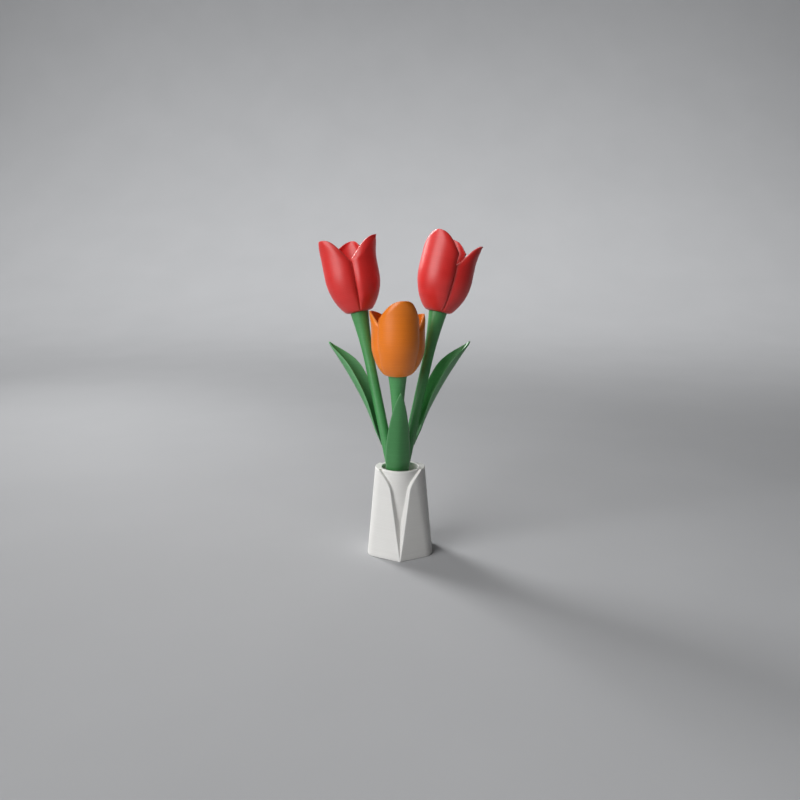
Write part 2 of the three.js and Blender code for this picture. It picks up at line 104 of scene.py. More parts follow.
class Term:
    """A number on a node's output. Arithmetic with it adds Math nodes to its tree."""

    def __init__(self, tree: Tree, socket: bpy.types.NodeSocket) -> None:
        """Wraps one output socket of a node in the tree."""
        self.tree = tree
        self.socket = socket

    def __add__(self, other: Operand) -> Term:
        """Sum."""
        return self.tree.math("ADD", self, other)

    def __radd__(self, other: Operand) -> Term:
        """Sum, from the right."""
        return self.tree.math("ADD", other, self)

    def __sub__(self, other: Operand) -> Term:
        """Difference."""
        return self.tree.math("SUBTRACT", self, other)

    def __rsub__(self, other: Operand) -> Term:
        """Difference, from the right."""
        return self.tree.math("SUBTRACT", other, self)

    def __mul__(self, other: Operand) -> Term:
        """Product."""
        return self.tree.math("MULTIPLY", self, other)

    def __rmul__(self, other: Operand) -> Term:
        """Product, from the right."""
        return self.tree.math("MULTIPLY", other, self)

    def __truediv__(self, other: Operand) -> Term:
        """Quotient."""
        return self.tree.math("DIVIDE", self, other)

    def __rtruediv__(self, other: Operand) -> Term:
        """Quotient, from the right."""
        return self.tree.math("DIVIDE", other, self)

    def __pow__(self, power: Operand) -> Term:
        """Power, of a number that isn't negative."""
        return self.tree.math("POWER", self, power)

    def at_least(self, other: Operand) -> Term:
        """The larger of the two."""
        return self.tree.math("MAXIMUM", self, other)

    def at_most(self, other: Operand) -> Term:
        """The smaller of the two."""
        return self.tree.math("MINIMUM", self, other)

    def unit(self) -> Term:
        """Held between 0 and 1."""
        return self.at_least(0.0).at_most(1.0)

    def eased(self) -> Term:
        """Smooth step from 0 to 1."""
        part = self.unit()
        return part * part * (3.0 - 2.0 * part)

    def swing(self, amount: float) -> Term:
        """Noise from 0 to 1, made a swing of that amount about nought."""
        return (self - 0.5) * amount

    def split(self, point: Operand) -> tuple[Term, Term]:
        """Shares of the parts before and after a point, for a share and a point from 0 to 1."""
        return (self / point).at_most(1.0), ((self - point) / (1.0 - point)).at_least(0.0)

    def size(self) -> Term:
        """Size without its sign."""
        return self.tree.math("ABSOLUTE", self)

    def sign(self) -> Term:
        """-1, 0 or 1."""
        return self.tree.math("SIGN", self)

    def sine(self) -> Term:
        """Sine of an angle."""
        return self.tree.math("SINE", self)

    def cosine(self) -> Term:
        """Cosine of an angle."""
        return self.tree.math("COSINE", self)

    def arcsine(self) -> Term:
        """Angle of a sine."""
        return self.tree.math("ARCSINE", self)

    def root(self) -> Term:
        """Square root."""
        return self.tree.math("SQRT", self)

    def floor(self) -> Term:
        """Whole part."""
        return self.tree.math("FLOOR", self)

    def fraction(self) -> Term:
        """Part after the whole one."""
        return self.tree.math("FRACT", self)


class Tree:
    """Adds nodes to one node tree."""

    # A Mix node's sockets for colours, by number.
    MIX_FACTOR, MIX_LOW, MIX_HIGH, MIX_RESULT = 0, 6, 7, 2

    def __init__(self, tree: bpy.types.NodeTree) -> None:
        """Takes the tree that the nodes go into."""
        self.nodes = tree.nodes
        self.links = tree.links

    def node(
        self,
        kind: str,
        settings: Mapping[str, object] | None = None,
        sockets: Mapping[Union[str, int], object] | None = None,
    ) -> bpy.types.Node:
        """Adds a node, sets it up and feeds its inputs.

        Args:
            kind: The node's type.
            settings: The node's own properties, set before its inputs.
            sockets: Values, terms or output sockets, by the input's name or number.

        Returns:
            The new node.
        """
        node = self.nodes.new(kind)
        for name, value in (settings or {}).items():
            setattr(node, name, value)
        for key, value in (sockets or {}).items():
            if isinstance(value, Term):
                self.links.new(value.socket, node.inputs[key])
            elif isinstance(value, bpy.types.NodeSocket):
                self.links.new(value, node.inputs[key])
            else:
                node.inputs[key].default_value = value
        return node

    def math(self, operation: str, *operands: Operand) -> Term:
        """Adds one Math node.

        Args:
            operation: The Math node's operation.
            *operands: Terms or plain numbers.

        Returns:
            The result.
        """
        node = self.node("ShaderNodeMath", {"operation": operation}, dict(enumerate(operands)))
        return Term(self, node.outputs[0])

    def noise(self, spot: bpy.types.NodeSocket, scale: float, detail: float = 2.0) -> Term:
        """Adds a noise texture.

        Args:
            spot: Where the pattern is read.
            scale: Waves per metre.
            detail: Octaves of finer waves.

        Returns:
            Noise from 0 to 1.
        """
        node = self.node("ShaderNodeTexNoise", None, {
            "Vector": spot, "Scale": scale, "Detail": detail,
        })
        return Term(self, node.outputs[0])

    def mix(self, factor: Term, low: object, high: object) -> bpy.types.NodeSocket:
        """Adds a mix of two colours.

        Args:
            factor: 0 for the first colour, 1 for the second.
            low: First colour, or the socket that it comes from.
            high: Second colour, or the socket that it comes from.

        Returns:
            The mixed colour's socket.
        """
        node = self.node("ShaderNodeMix", {"data_type": "RGBA"}, {
            self.MIX_FACTOR: factor, self.MIX_LOW: low, self.MIX_HIGH: high,
        })
        return node.outputs[self.MIX_RESULT]


def bare_tree(owner: Union[bpy.types.Material, bpy.types.World]) -> Tree:
    """Gives a material or a world an empty node tree.

    Args:
        owner: The material or the world.

    Returns:
        The tree.
    """
    owner.use_nodes = True
    owner.node_tree.nodes.clear()
    return Tree(owner.node_tree)


def add_object(name: str, data: bpy.types.ID) -> bpy.types.Object:
    """Adds an object to the scene.

    Args:
        name: Name of the object.
        data: Its mesh, lamp or camera.

    Returns:
        The object, at the origin.
    """
    item = bpy.data.objects.new(name, data)
    bpy.context.scene.collection.objects.link(item)
    return item


@dataclass(frozen=True)
class PrintedPlastic:
    """Satin plastic laid down in fine level layers."""

    name: str
    slot: Slot
    body: Colour
    deep: Colour
    pale_edge: Colour
    roughness: float = 0.37
    layer: float = 1.0
    line_strength: float = 0.16
    tilt: Triple = (0.0, 0.0, 0.0)

    CLOUD_SCALE = 55.0
    GRAIN_SCALE = 2600.0
    GRAIN_DETAIL = 1.0
    LAYER_DRIFT = 0.3
    DEPTH = 0.62
    CLOUD_DEPTH = 0.7
    PASS_DEPTH = 0.18
    # How much painted shade darkens the colour in the groove between two layers.
    GROOVE_SHADE = 0.3
    EDGE_PALING = 0.45
    CLOUD_ROUGHNESS = 0.12
    GRAIN_ROUGHNESS = 0.08
    GROOVE_ROUGHNESS = 0.06
    LINE_HEIGHT = 0.1
    PASS_HEIGHT = 0.3
    GRAIN_HEIGHT = 0.35
    IOR = 1.55
    SPECULAR = 0.6

    def material(self) -> bpy.types.Material:
        """Builds the finish: layer lines, cloudy colour, paler edges and a fine grain.

        Returns:
            The material.
        """
        material = bpy.data.materials.new(self.name)
        tree = bare_tree(material)
        spot = tree.node("ShaderNodeTexCoord").outputs["Object"]
        upright = tree.node("ShaderNodeMapping", None, {"Vector": spot, "Rotation": self.tilt})
        parts = tree.node("ShaderNodeSeparateXYZ", None, {0: upright.outputs[0]})
        cloud = tree.noise(spot, self.CLOUD_SCALE)
        grain = tree.noise(spot, self.GRAIN_SCALE, self.GRAIN_DETAIL)
        layer = Term(tree, parts.outputs["Z"]) / (self.layer * MM) + cloud * self.LAYER_DRIFT
        # From 0 on the crown of a layer to 1 in the groove between two.
        step = layer.fraction()
        groove = (1.0 - 4.0 * step * (1.0 - step)) ** 2.0
        pass_tone = Term(tree, tree.node(
            "ShaderNodeTexWhiteNoise", {"noise_dimensions": "1D"}, {"W": layer.floor()}
        ).outputs["Value"])
        edge = Term(tree, tree.node(
            "ShaderNodeAttribute", {"attribute_name": EDGE_MARK}
        ).outputs["Fac"])
        depth = self.DEPTH + cloud.swing(self.CLOUD_DEPTH) + pass_tone.swing(self.PASS_DEPTH)
        # Painted shade: the colour is darker in the groove between two layers.
        depth = (depth - groove * self.GROOVE_SHADE).unit()
        body = tree.mix(depth, linear(*self.deep), linear(*self.body))
        # The colour runs paler towards the edges, by the edge mark.
        colour = tree.mix((edge * edge * self.EDGE_PALING).unit(), body, linear(*self.pale_edge))
        roughness = self.roughness + cloud.swing(self.CLOUD_ROUGHNESS)
        roughness = roughness + grain.swing(self.GRAIN_ROUGHNESS) + groove * self.GROOVE_ROUGHNESS
        height = (1.0 - groove) + pass_tone.swing(self.PASS_HEIGHT) + grain * self.GRAIN_HEIGHT
        relief = tree.node("ShaderNodeBump", None, {
            "Strength": self.line_strength, "Distance": self.LINE_HEIGHT * MM, "Height": height,
        })
        shader = tree.node("ShaderNodeBsdfPrincipled", None, {
            "Base Color": colour,
            "Roughness": roughness,
            "Normal": relief.outputs[0],
            "IOR": self.IOR,
            "Specular IOR Level": self.SPECULAR,
        })
        tree.node("ShaderNodeOutputMaterial", None, {"Surface": shader.outputs[0]})
        return material


class SkinTree(Tree):
    """A Geometry Nodes tree that makes one closed skin from named sizes in millimetres."""

    def __init__(self, name: str, sizes: Sequence[str]) -> None:
        """Starts the tree.

        Args:
            name: Name of the tree.
            sizes: Names of its sizes, each of which becomes an input.
        """
        self.group = bpy.data.node_groups.new(name, "GeometryNodeTree")
        super().__init__(self.group)
        interface = self.group.interface
        for size in sizes:
            interface.new_socket(size, in_out="INPUT", socket_type="NodeSocketFloat")
        interface.new_socket(FINISH_INPUT, in_out="INPUT", socket_type="NodeSocketMaterial")
        interface.new_socket("Skin", in_out="OUTPUT", socket_type="NodeSocketGeometry")
        self.entry = self.node("NodeGroupInput")

    def given(self, name: str) -> Term:
        """One of the tree's named sizes."""
        return Term(self, self.entry.outputs[name])

    def blanket(
        self, around: int, levels: int
    ) -> tuple[bpy.types.NodeSocket, Term, Term, Term]:
        """Adds the flat grid that a skin is wrapped from. Its first row closes the skin's foot.

        Args:
            around: Steps round a section.
            levels: Steps from the first section to the last.

        Returns:
            The grid, the angle round the section, the side of the wall, which is 1 outside, -1
            inside and 0 on the first row, and the share of the way up, from 0 to 1.
        """
        grid = self.node("GeometryNodeMeshGrid", None, {
            "Size X": 1.0, "Size Y": 1.0, "Vertices X": around + 1, "Vertices Y": levels + 1,
        })
        spot = self.node("GeometryNodeInputPosition")
        parts = self.node("ShaderNodeSeparateXYZ", None, {0: spot.outputs[0]})
        angle = (Term(self, parts.outputs[0]) + 0.5) * TAU
        level = (Term(self, parts.outputs[1]) + 0.5) * float(levels)
        side = angle.sine().sign() * level.at_most(1.0)
        climb = (level - 1.0).at_least(0.0) / float(levels - 1)
        return grid.outputs["Mesh"], angle, side, climb

    def spot(self, x: Operand, y: Operand, z: Operand) -> bpy.types.NodeSocket:
        """Joins three numbers in millimetres into a place in metres.

        Args:
            x: Place along X.
            y: Place along Y.
            z: Place along Z.

        Returns:
            The place's socket.
        """
        joined = self.node("ShaderNodeCombineXYZ", None, {0: x, 1: y, 2: z})
        scaled = self.node("ShaderNodeVectorMath", {"operation": "SCALE"}, {
            0: joined.outputs[0], "Scale": MM,
        })
        return scaled.outputs[0]

    def place(
        self,
        geometry: bpy.types.NodeSocket,
        spot: bpy.types.NodeSocket,
        mark: str,
        value: Term,
    ) -> bpy.types.NodeSocket:
        """Marks each point with a number, then moves it.

        Args:
            geometry: The grid or line.
            spot: Where each of its points goes.
            mark: Name of the number.
            value: The number.

        Returns:
            The moved geometry.
        """
        settings = {"data_type": "FLOAT", "domain": "POINT"}
        marked = self.node("GeometryNodeStoreNamedAttribute", settings, {
            "Geometry": geometry, "Name": mark, "Value": value,
        })
        moved = self.node("GeometryNodeSetPosition", None, {
            "Geometry": marked.outputs[0], "Position": spot,
        })
        return moved.outputs[0]

    def wrap(self, grid: bpy.types.NodeSocket, spot: bpy.types.NodeSocket, edge: Term) -> None:
        """Wraps the grid into a closed skin and ends the tree.

        Args:
            grid: The flat grid.
            spot: Where each of its points goes.
            edge: How far each point is from an edge, where 1 and more is far.
        """
        placed = self.place(grid, spot, EDGE_MARK, (1.0 - edge).at_least(0.0))
        merged = self.node("GeometryNodeMergeByDistance", None, {
            "Geometry": placed, "Distance": MERGE_DISTANCE,
        })
        self.end(merged.outputs[0])

    def end(self, skin: bpy.types.NodeSocket) -> None:
        """Ends the tree with plain, finished geometry.

        Args:
            skin: The closed skin.
        """
        smooth = self.node("GeometryNodeSetShadeSmooth", None, {"Geometry": skin})
        real = self.node("GeometryNodeRealizeInstances", None, {"Geometry": smooth.outputs[0]})
        dressed = self.node("GeometryNodeSetMaterial", None, {
            "Geometry": real.outputs[0], "Material": self.entry.outputs[FINISH_INPUT],
        })
        self.node("NodeGroupOutput", None, {"Skin": dressed.outputs[0]})

    def cast(
        self, name: str, sizes: Mapping[str, float], finish: bpy.types.Material
    ) -> bpy.types.Mesh:
        """Runs the tree once.

        Args:
            name: Name of the mesh.
            sizes: Value of each of the tree's sizes, in millimetres.
            finish: Material of the piece.

        Returns:
            A plain mesh.
        """
        carrier = add_object(name + "_carrier", bpy.data.meshes.new(name + "_carrier"))
        modifier = carrier.modifiers.new("shape", "NODES")
        modifier.node_group = self.group
        for item in self.group.interface.items_tree:
            if item.in_out == "INPUT":
                value = finish if item.name == FINISH_INPUT else float(sizes[item.name])
                modifier[item.identifier] = value
        graph = bpy.context.evaluated_depsgraph_get()
        mesh = bpy.data.meshes.new_from_object(
            carrier.evaluated_get(graph), preserve_all_data_layers=True, depsgraph=graph
        )
        mesh.name = name
        carrier.modifiers.clear()
        bpy.data.objects.remove(carrier)
        return mesh


def half_wall(wall: Term, from_edge: Term) -> Term:
    """Half of a wall's thickness, which runs out in a half round at the wall's edge.

    Args:
        wall: Full thickness of the wall.
        from_edge: Distance from the edge.

    Returns:
        Half of the thickness there.
    """
    rounding = 1.0 - (from_edge / (wall * 0.5)).at_most(1.0)
    return wall * 0.5 * (1.0 - rounding * rounding).at_least(0.0).root()


def settle(name: str, mesh: bpy.types.Mesh, place: Matrix) -> bpy.types.Object:
    """Makes a piece of a closed mesh: in its place, faces outward, smooth but for its sharp edges.

    Args:
        name: Name of the piece.
        mesh: Its mesh, in metres.
        place: Where the mesh goes.

    Returns:
        The piece, at the origin, with its place in its mesh.
    """
    mesh.transform(place)
    shape = bmesh.new()
    shape.from_mesh(mesh)
    if shape.calc_volume(signed=True) < 0:
        bmesh.ops.reverse_faces(shape, faces=shape.faces[:])
    for face in shape.faces:
        face.smooth = True
    for edge in shape.edges:
        edge.smooth = edge.calc_face_angle(0.0) < SHARP_ANGLE
    shape.to_mesh(mesh)
    shape.free()
    return add_object(name, mesh)


def stand_for(piece: bpy.types.Object, node: str, body: str) -> None:
    """Puts a finished piece in the place of a solid.

    Args:
        piece: The finished piece.
        node: The solid that it stands for.
        body: The body that it moves with.
    """
    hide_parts(node)
    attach(piece, body)
    log.info("%s: %d faces, moves with %s", piece.name, len(piece.data.polygons), body)


def ring_skin(
    name: str, rings: np.ndarray, marks: np.ndarray, finish: bpy.types.Material
) -> bpy.types.Mesh:
    """Closes a stack of rings into a skin, with a point in the middle of the first and the last.

    Args:
        name: Name of the mesh.
        rings: Points of each ring in millimetres, ring by ring.
        marks: How near each of those points is to an edge, 0 to 1.
        finish: Material of the piece.

    Returns:
        The mesh, in metres.
    """
    levels, size, _ = rings.shape
    ends = np.array([rings[0].mean(axis=0), rings[-1].mean(axis=0)])
    points = np.vstack([rings.reshape(-1, 3), ends]) * MM
    low, high = levels * size, levels * size + 1
    faces: list[tuple[int, ...]] = []
    for i in range(size):
        j = (i + 1) % size
        faces.append((low, j, i))
        faces.append((high, (levels - 1) * size + i, (levels - 1) * size + j))
        faces.extend(
            (k * size + i, k * size + j, (k + 1) * size + j, (k + 1) * size + i)
            for k in range(levels - 1)
        )
    mesh = bpy.data.meshes.new(name)
    mesh.from_pydata(points.tolist(), [], faces)
    mesh.materials.append(finish)
    attribute = mesh.attributes.new(EDGE_MARK, "FLOAT", "POINT")
    attribute.data.foreach_set("value", np.append(marks.ravel(), (0.0, 0.0)).astype(np.float32))
    return mesh


@dataclass
class FoldedVase:
    """White vase: a round core between two folds, which open in a V at the front and the back."""

    height: float = 53.0
    floor: float = 3.0
    mouth: float = 11.0069
    rim: float = 13.2069
    core_taper: float = 0.09
    edge: float = 0.5
    base_sharp: float = 22.8
    base_round: float = 21.7
    base_round_radius: float = 8.0
    top_sharp: float = 17.5
    top_round: float = 15.2
    top_round_radius: float = 14.4
    fold_spread: float = 0.138
    fold_wall_slope: float = 0.9
    fold_flare_height: float = 13.0
    fold_flare: float = 6.5
    fold_flare_power: float = 2.4
    softness: float = 0.34
    levels: int = 110
    core_steps: int = 10
    wall_steps: int = 9
    crest_steps: int = 7
    side_steps: int = 20
    crest_width: float = 2.4
    least_core: float = 0.3
    least_wall: float = 0.6

    # Points along each part of an outline before it is softened, and round the softened one.
    ARC_POINTS = 160
    FACE_POINTS = 200
    SIDE_POINTS = 12
    CORE_POINTS = 40
    WALL_POINTS = 30
    LOOP_POINTS = 3200
    LEAST_STEP = 1e-9
    # Rings over an edge, across the lip and down the mouth, and how pale each kind is.
    EDGE_RINGS = 5
    LIP_SHARES = (0.06, 0.3, 0.6, 0.94)
    MOUTH_HEIGHTS = (50.0, 47.0, 40.0, 25.0, 10.0)
    CREST_REACH = 1.2
    FOOT_PALING = 0.7
    RIM_PALING = 0.8
    LIP_PALING = 0.2

    def tapered(self, base: float, top: float, height: float) -> float:
        """A size at a height, from its values at the base and at the top."""
        return base + (top - base) * (height / self.height)

    def outer_quarter(self, height: float) -> np.ndarray:
        """Outer outline at a height, from the front corner to the middle of the right side.

        Args:
            height: Height of the section.

        Returns:
            Points of the outline, as distance to the right and to the front.
        """
        sharp = self.tapered(self.base_sharp, self.top_sharp, height)
        reach = self.tapered(self.base_round, self.top_round, height)
        radius = self.tapered(self.base_round_radius, self.top_round_radius, height)
        centre = reach - radius
        along, across = sharp * 0.5 - centre, sharp * math.sin(SIXTH_TURN)
        half_arc = math.atan2(across, along) - math.acos(radius / math.hypot(along, across))
        angles = np.linspace(SIXTH_TURN - half_arc, QUARTER_TURN, self.ARC_POINTS)
        middle = centre * np.array([math.sin(SIXTH_TURN), 0.5])
        arc = middle + radius * np.stack([np.sin(angles), np.cos(angles)], axis=1)
        face = np.linspace((0.0, sharp), arc[0], self.FACE_POINTS)[:-1]
        side = np.linspace(arc[-1], (arc[-1][0], 0.0), self.SIDE_POINTS)[1:]
        return np.vstack([face, arc, side])

    def quarter(self, height: float) -> tuple[np.ndarray, float, float]:
        """Outline at a height with its V cut, from the middle of the V to that of the right side.

        Args:
            height: Height of the section.

        Returns:
            Points of the outline, the length of its core part and the length of its V wall.
        """
        flare = max(0.0, 1 - (self.height - height) / self.fold_flare_height)
        half = self.fold_spread * height + self.fold_flare * flare ** self.fold_flare_power
        corner = self.tapered(self.base_sharp, self.top_sharp, height)
        face = corner - half * math.tan(SIXTH_TURN / 2)
        core = self.rim + self.core_taper * (self.height - height)
        slope = self.fold_wall_slope
        outer = self.outer_quarter(height)
        beyond = outer[:, 0] - (half - slope * (face - outer[:, 1]))
        first = int(np.argmax(beyond > 0))
        ratio = beyond[first - 1] / (beyond[first - 1] - beyond[first]) if first else 0.0
        crest = outer[first - 1] + (outer[first] - outer[first - 1]) * ratio if first else outer[0]
        start = half - slope * face
        a, b, c = 1 + slope ** 2, start * slope, start ** 2 - core ** 2
        front = (-b + math.sqrt(b * b - a * c)) / a
        meeting = np.array([start + slope * front, front])
        if meeting[0] <= 0:
            meeting = np.array([0.0, -start / slope])
            rounds = meeting[None, :]
        else:
            angles = np.linspace(0.0, math.atan2(meeting[0], meeting[1]), self.CORE_POINTS)
            rounds = core * np.stack([np.sin(angles), np.cos(angles)], axis=1)
        wall = np.linspace(meeting, crest, self.WALL_POINTS)
        line = np.vstack([rounds, wall[1:], outer[first:]])
        core_length = float(np.linalg.norm(np.diff(rounds, axis=0), axis=1).sum())
        return line, core_length, float(np.linalg.norm(crest - meeting))

    def soft_loop(self, height: float) -> tuple[np.ndarray, np.ndarray]:
        """Whole outline at a height, with every corner a little rounded.

        Args:
            height: Height of the section.

        Returns:
            Points of the outline, to the right and to the front, and their nearness to a crest,
            0 to 1.
        """
        line, core_length, wall_length = self.quarter(height)
        back = line[::-1] * (1, -1)
        right = np.vstack([line, back[1:]])
        loop = np.vstack([right, right[::-1][1:] * (-1, 1)])
        steps = np.linalg.norm(np.diff(loop, axis=0), axis=1)
        loop = loop[np.append(True, steps > self.LEAST_STEP)]
        travel = np.append(0.0, np.cumsum(np.linalg.norm(np.diff(loop, axis=0), axis=1)))
        total, count = travel[-1], self.LOOP_POINTS
        even = np.arange(count) * total / count
        dense = np.stack([np.interp(even, travel, loop[:, k]) for k in (0, 1)], axis=1)
        waves = np.fft.fftfreq(count, total / count)
        damping = np.exp(-2 * (math.pi * waves * self.softness) ** 2)
        dense = np.real(np.fft.ifft(np.fft.fft(dense, axis=0) * damping[:, None], axis=0))
        core_end = max(core_length, self.least_core)
        crest = core_end + max(wall_length, self.least_wall)
        stops = np.concatenate([
            np.linspace(0, core_end, self.core_steps + 1),
            np.linspace(core_end, crest, self.wall_steps + 1)[1:],
            np.linspace(crest, crest + self.crest_width, self.crest_steps + 1)[1:],
            np.linspace(crest + self.crest_width, total / 4, self.side_steps + 1)[1:],
        ])
        half = np.concatenate([stops, total / 2 - stops[::-1][1:]])
        places = np.concatenate([half, total - half[::-1][1:-1]])
        even = np.append(even, total)
        dense = np.vstack([dense, dense[:1]])
        points = np.stack([np.interp(places, even, dense[:, k]) for k in (0, 1)], axis=1)
        away = np.minimum(places % (total / 2), total / 2 - places % (total / 2))
        return points, np.clip(1 - np.abs(away - crest) / self.CREST_REACH, 0, 1)

    def build(self, finish: bpy.types.Material) -> bpy.types.Object:
        """Builds the vase from its foot, over the rim and down to the floor of the mouth.

        Args:
            finish: Material of the vase.

        Returns:
            The vase.
        """
        rings: list[np.ndarray] = []
        marks: list[np.ndarray] = []

        def ring(points: np.ndarray, height: float, mark: Union[float, np.ndarray]) -> None:
            """Adds a ring of points.

            Args:
                points: The ring, as distance to the right and to the front.
                height: Its height.
                mark: How pale it is, 0 to 1, as a whole or point by point.
            """
            level = np.full(len(points), height)
            rings.append(np.column_stack([points[:, 0], -points[:, 1], level]))
            marks.append(np.broadcast_to(mark, len(points)))

        angles = np.linspace(0, QUARTER_TURN, self.EDGE_RINGS)
        foot, foot_mark = self.soft_loop(self.edge)
        foot_mark = np.maximum(foot_mark, self.FOOT_PALING)
        reach = np.linalg.norm(foot, axis=1)[:, None]
        for angle in angles[:-1]:
            inset = self.edge * (1 - math.sin(angle))
            ring(foot * (1 - inset / reach), self.edge * (1 - math.cos(angle)), foot_mark)
        for height in np.linspace(self.edge, self.height - self.edge, self.levels):
            points, mark = self.soft_loop(float(height))
            ring(points, float(height), mark)
        top, _ = self.soft_loop(self.height)
        spokes = top / np.linalg.norm(top, axis=1)[:, None]
        inward = spokes * self.mouth - top
        inward /= np.linalg.norm(inward, axis=1)[:, None]
        for angle in angles[1:]:
            inset = self.edge * (1 - math.cos(angle))
            height = self.height - self.edge * (1 - math.sin(angle))
            ring(top + inward * inset, height, self.RIM_PALING)
        lip = top + inward * self.edge
        bead = spokes * (self.mouth + self.edge)
        for share in self.LIP_SHARES:
            ring(lip + (bead - lip) * share, self.height, self.LIP_PALING)
        for angle in angles:
            radius = self.mouth + self.edge * (1 - math.sin(angle))
            height = self.height - self.edge * (1 - math.cos(angle))
            ring(spokes * radius, height, self.RIM_PALING)
        for height in (*self.MOUTH_HEIGHTS, self.floor):
            ring(spokes * self.mouth, height, 0.0)
        mesh = ring_skin("vase_shell", np.array(rings), np.array(marks), finish)
        return settle("vase_shell", mesh, Matrix.Identity(4))

    def dress(self, finish: PrintedPlastic, holder: bpy.types.Object) -> None:
        """Builds the vase in its finish, and gives the plug inside it the same one.

        Args:
            finish: White plastic.
            holder: The plug that holds the stems.
        """
        material = finish.material()
        stand_for(self.build(material), "vase", "vase_body")
        holder.data.materials.clear()
        holder.data.materials.append(material)
        log.info("%s: finish only", holder.name)


@dataclass
class StemLine:
    """Line that a stem follows: upright in the vase, a short bend at the rim, then straight."""

    azimuth: float
    lean: float
    top: float
    ring: float = 4.1569
    offset: float = -1.4
    bend: float = 50.8
    bend_reach: float = 3.0

    SIZES = ("Lean", "Ring Radius", "Bend Height", "Bend Reach")

    def reach(self, height: float) -> float:
        """Distance of the line from the bouquet's axis.

        Args:
            height: Height along the line.

        Returns:
            The distance.
        """
        rise = min(max(height - self.bend, -self.bend_reach), self.bend_reach) + self.bend_reach
        straight = max(0.0, height - self.bend - self.bend_reach)
        return self.ring + self.lean * (rise ** 2 / (4 * self.bend_reach) + straight)

    def place(self) -> Matrix:
        """Turn from the front to the stem's azimuth, about the bouquet's axis, in metres."""
        turn = Matrix.Rotation(math.radians(self.azimuth), 4, "Z")
        return Matrix.Translation((self.offset * MM, 0, 0)) @ turn

    def head_place(self) -> Matrix:
        """Finds where the head sits, square on the end of the stem.

        Returns:
            The head's place, in metres.
        """
        side = outward(self.azimuth)
        axis = (side * self.lean + Vector((0, 0, 1))).normalized()
        tilt = Vector((0, 0, 1)).rotation_difference(axis).to_matrix().to_4x4()
        spot = side * self.reach(self.top)
        return Matrix.Translation(Vector((spot.x + self.offset, spot.y, self.top)) * MM) @ tilt

    def sizes(self) -> dict[str, float]:
        """Sizes of the line for a tree."""
        return dict(zip(self.SIZES, (self.lean, self.ring, self.bend, self.bend_reach)))

    @classmethod
    def trace(cls, tree: SkinTree, height: Term) -> tuple[Term, Term]:
        """Adds the line's rule to a tree.

        Args:
            tree: A tree with the line's sizes among its inputs.
            height: Height along the line.

        Returns:
            Distance from the bouquet's axis, and the outward run per unit of height.
        """
        lean, ring, bend, bend_reach = (tree.given(name) for name in cls.SIZES)
        above = height - bend
        rise = above.at_least(0.0 - bend_reach).at_most(bend_reach) + bend_reach
        straight = (above - bend_reach).at_least(0.0)
        reach = ring + lean * (rise * rise / (4.0 * bend_reach) + straight)
        return reach, lean * (rise / (2.0 * bend_reach))


@dataclass
class Stem:
    """Round stem: a thinner foot, a long shaft, a flare under the head and a peg."""

    line: StemLine
    foot: float = 29.0
    foot_edge: float = 0.6
    shoulder: float = 47.0
    foot_radius: float = 2.6
    radius: float = 3.1
    top_radius: float = 5.6
    flare_length: float = 34.0
    peg_radius: float = 2.3
    peg_length: float = 6.5
    seat_gap: float = 0.3

    STEP = 0.002
    SIDES = 56
    # Steps along the foot's edge, foot, shoulder, shaft, flare, seat and peg.
    COUNTS = (3, 6, 1, 80, 36, 1, 4)
    SIZES = (
        "Foot Height", "Foot Edge", "Shoulder Height", "Foot Radius", "Stem Radius",
        "Top Height", "Top Radius", "Flare Height", "Peg Radius", "Peg Height",
    )

    @classmethod
    def tree(cls) -> SkinTree:
        """Builds the tree that sweeps a round section along the stem's line.

        Returns:
            The tree.
        """
        tree = SkinTree("stem", StemLine.SIZES + cls.SIZES)
        foot, edge, shoulder, foot_radius, radius, top, top_radius, flare, peg_radius, peg = (
            tree.given(name) for name in cls.SIZES
        )
        line = tree.node("GeometryNodeCurvePrimitiveLine", None, {"End": (0.0, 0.0, 1.0)})
        fine = tree.node("GeometryNodeResampleCurve", None, {
            "Curve": line.outputs[0], "Count": sum(cls.COUNTS) + 1,
        })
        step = Term(tree, tree.node("GeometryNodeSplineParameter").outputs["Index"])
        starts = np.append(0, np.cumsum(cls.COUNTS))[:-1]
        parts = [
            ((step - float(start)) / float(count)).unit()
            for start, count in zip(starts, cls.COUNTS)
        ]
        lengths = (
            edge, shoulder - foot - edge, cls.STEP, top - flare - shoulder, flare, cls.STEP, peg,
        )
        height = foot
        for part, length in zip(parts, lengths):
            height = height + part * length
        rim, _, ledge, _, flaring, seat, _ = parts
        width = foot_radius - edge * (1.0 - rim) + (radius - foot_radius) * ledge
        width = width + (top_radius - radius) * flaring * flaring
        width = width - (top_radius - peg_radius) * seat
        reach, _ = StemLine.trace(tree, height)
        spot = tree.spot(0.0, 0.0 - reach, height)
        placed = tree.place(fine.outputs[0], spot, WIDTH_MARK, width * MM)
        named = tree.node("GeometryNodeInputNamedAttribute", {"data_type": "FLOAT"}, {
            "Name": WIDTH_MARK,
        })
        section = tree.node("GeometryNodeCurvePrimitiveCircle", None, {
            "Resolution": cls.SIDES, "Radius": 1.0,
        })
        swept = tree.node("GeometryNodeCurveToMesh", None, {
            "Curve": placed, "Profile Curve": section.outputs[0],
            "Scale": named.outputs[0], "Fill Caps": True,
        })
        tree.end(swept.outputs[0])
        return tree

    def build(self, name: str, tree: SkinTree, finish: bpy.types.Material) -> bpy.types.Object:
        """Builds the stem.

        Args:
            name: Name of the piece.
            tree: The stems' tree.
            finish: Material of the stem.

        Returns:
            The stem.
        """
        rise = math.cos(math.atan(self.line.lean))
        sizes = self.line.sizes() | {
            "Foot Height": self.foot, "Foot Edge": self.foot_edge,
            "Shoulder Height": self.shoulder, "Foot Radius": self.foot_radius,
            "Stem Radius": self.radius, "Top Height": self.line.top - self.seat_gap * rise,
            "Top Radius": self.top_radius, "Flare Height": self.flare_length * rise,
            "Peg Radius": self.peg_radius, "Peg Height": self.peg_length * rise,
        }
        return settle(name, tree.cast(name, sizes, finish), self.line.place())


